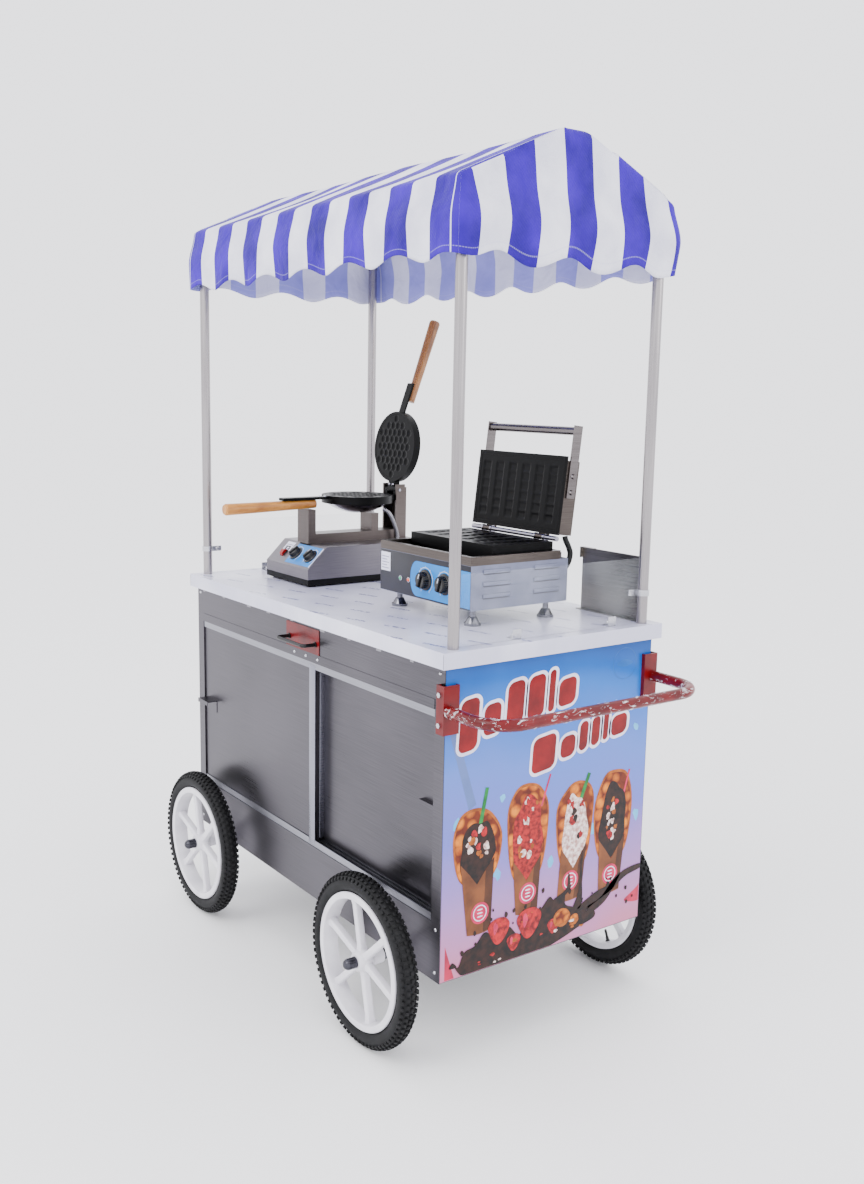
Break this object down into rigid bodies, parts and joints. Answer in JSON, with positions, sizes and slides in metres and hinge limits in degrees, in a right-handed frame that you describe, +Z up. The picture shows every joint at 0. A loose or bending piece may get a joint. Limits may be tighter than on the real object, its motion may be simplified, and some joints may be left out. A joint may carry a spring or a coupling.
{
  "type": "push vending cart",
  "caption": "Push vending cart: stainless cabinet on spoked wheels with sliding doors, drawer, push handle, striped gable canopy on posts, and two table-top waffle makers.",
  "frame": {"origin": "on the ground under the middle of the whole cart, halfway between the left wheels and the handle bar", "axes": "+Z up, +X along the cart towards the push handle, -Y towards the sliding doors and the drawer"},
  "size_m": [1.4314, 0.8306, 2.003],
  "materials": {
    "brushed_stainless": "brushed",
    "aluminium_track": "extruded",
    "bright_fastener": "polished",
    "printed_film": "printed vinyl film",
    "label_film": "printed vinyl film",
    "post_tube": "satin",
    "canopy_fabric": "woven, striped",
    "clear_acrylic": "clear sheet",
    "red_enamel": "gloss",
    "axle_steel": "turned",
    "black_moulding": "moulded",
    "white_moulding": "moulded",
    "tyre_rubber": "knobbly tread",
    "black_wire": "satin",
    "black_cast": "non-stick coated",
    "grey_steel": "satin",
    "polished_steel": "polished",
    "light_wood": "turned, oiled",
    "brown_wood": "turned, varnished",
    "red_moulding": "moulded",
    "conduit_sleeve": "braided sleeve"
  },
  "bodies": {
    "cart": {"counter_top": "brushed_stainless", "front_frame": "brushed_stainless", "end_panel_left": "brushed_stainless", "end_panel_right": "brushed_stainless", "back_panel": "brushed_stainless", "cabinet_floor": "brushed_stainless", "door_tracks": "aluminium_track", "drawer_runners": "brushed_stainless", "cart_fasteners": "bright_fastener", "end_graphic": "printed_film", "canopy_posts": "post_tube", "canopy_frame": "post_tube", "canopy_cloth": "canopy_fabric", "wind_guards": "clear_acrylic", "guard_brackets": "bright_fastener", "splash_guard": "brushed_stainless", "push_handle": "red_enamel", "handle_brackets": "red_enamel", "wheel_axles": "axle_steel", "axle_brackets": "brushed_stainless", "axle_sleeves": "black_moulding", "axle_caps": "black_moulding", "bubble_base": "black_cast", "bubble_housing": "grey_steel", "bubble_stand": "grey_steel", "bubble_heater": "polished_steel", "bubble_lower_pan": "black_cast", "bubble_lower_grip": "light_wood", "bubble_conduit": "conduit_sleeve", "stick_feet": "bright_fastener", "stick_housing": "grey_steel", "stick_tray": "polished_steel", "stick_lower_plate": "black_cast", "stick_conduit": "conduit_sleeve", "machine_labels": "label_film", "lid_hinges": "axle_steel"},
    "wheel_front_left": {"rim_front_left": "white_moulding", "tyre_front_left": "tyre_rubber"},
    "wheel_front_right": {"rim_front_right": "white_moulding", "tyre_front_right": "tyre_rubber"},
    "wheel_back_left": {"rim_back_left": "white_moulding", "tyre_back_left": "tyre_rubber"},
    "wheel_back_right": {"rim_back_right": "white_moulding", "tyre_back_right": "tyre_rubber"},
    "outer_door": {"door_outer": "brushed_stainless"},
    "inner_door": {"door_inner": "brushed_stainless"},
    "drawer": {"drawer_box": "brushed_stainless", "drawer_front": "red_enamel", "drawer_handle": "black_wire"},
    "bubble_lid": {"bubble_upper_pan": "black_cast", "bubble_upper_cover": "polished_steel", "bubble_upper_grip": "brown_wood"},
    "bubble_timer_knob": {"bubble_knob_left": "black_moulding"},
    "bubble_heat_knob": {"bubble_knob_right": "black_moulding"},
    "bubble_power_switch": {"bubble_switch": "red_moulding"},
    "stick_lid": {"stick_upper_plate": "black_cast", "stick_lid_casing": "grey_steel", "stick_lid_handle": "grey_steel"},
    "stick_timer_knob": {"stick_knob_left": "black_moulding"},
    "stick_heat_knob": {"stick_knob_right": "black_moulding"}
  },
  "joints": [
    {"name": "front_left_wheel_spin", "type": "hinge", "parent": "cart", "child": "wheel_front_left", "pos_m": [-0.51575, -0.363, 0.2], "axis": [0, 1, 0], "continuous": true},
    {"name": "front_right_wheel_spin", "type": "hinge", "parent": "cart", "child": "wheel_front_right", "pos_m": [0.33225, -0.363, 0.2], "axis": [0, 1, 0], "continuous": true},
    {"name": "back_left_wheel_spin", "type": "hinge", "parent": "cart", "child": "wheel_back_left", "pos_m": [-0.51575, 0.363, 0.2], "axis": [0, 1, 0], "continuous": true},
    {"name": "back_right_wheel_spin", "type": "hinge", "parent": "cart", "child": "wheel_back_right", "pos_m": [0.33225, 0.363, 0.2], "axis": [0, 1, 0], "continuous": true},
    {"name": "outer_door_slide", "type": "slide", "parent": "cart", "child": "outer_door", "axis": [1, 0, 0], "range_m": [0, 0.4944]},
    {"name": "inner_door_slide", "type": "slide", "parent": "cart", "child": "inner_door", "axis": [-1, 0, 0], "range_m": [0, 0.4944]},
    {"name": "drawer_slide", "type": "slide", "parent": "cart", "child": "drawer", "axis": [0, -1, 0], "range_m": [0, 0.25]},
    {"name": "bubble_lid_hinge", "type": "hinge", "parent": "cart", "child": "bubble_lid", "pos_m": [-0.40075, 0.196, 1.19], "axis": [1, 0, 0], "range_deg": [0, 96]},
    {"name": "stick_lid_hinge", "type": "hinge", "parent": "cart", "child": "stick_lid", "pos_m": [0.19725, 0.154, 1.131], "axis": [1, 0, 0], "range_deg": [0, 96.5]},
    {"name": "bubble_timer_knob_turn", "type": "hinge", "parent": "cart", "child": "bubble_timer_knob", "pos_m": [-0.39875, -0.12861, 1.02821], "axis": [0, -0.7009, 0.7132], "range_deg": [-270, 0]},
    {"name": "bubble_heat_knob_turn", "type": "hinge", "parent": "cart", "child": "bubble_heat_knob", "pos_m": [-0.32075, -0.12861, 1.02821], "axis": [0, -0.7009, 0.7132], "range_deg": [-270, 0]},
    {"name": "stick_timer_knob_turn", "type": "hinge", "parent": "cart", "child": "stick_timer_knob", "pos_m": [0.20725, -0.126, 1.033], "axis": [0, -1, 0], "range_deg": [-270, 0]},
    {"name": "stick_heat_knob_turn", "type": "hinge", "parent": "cart", "child": "stick_heat_knob", "pos_m": [0.28325, -0.126, 1.033], "axis": [0, -1, 0], "range_deg": [-270, 0]},
    {"name": "bubble_power_switch_rock", "type": "hinge", "parent": "cart", "child": "bubble_power_switch", "pos_m": [-0.46175, -0.12728, 1.01829], "axis": [1, 0, 0], "range_deg": [-20, 0]}
  ]
}
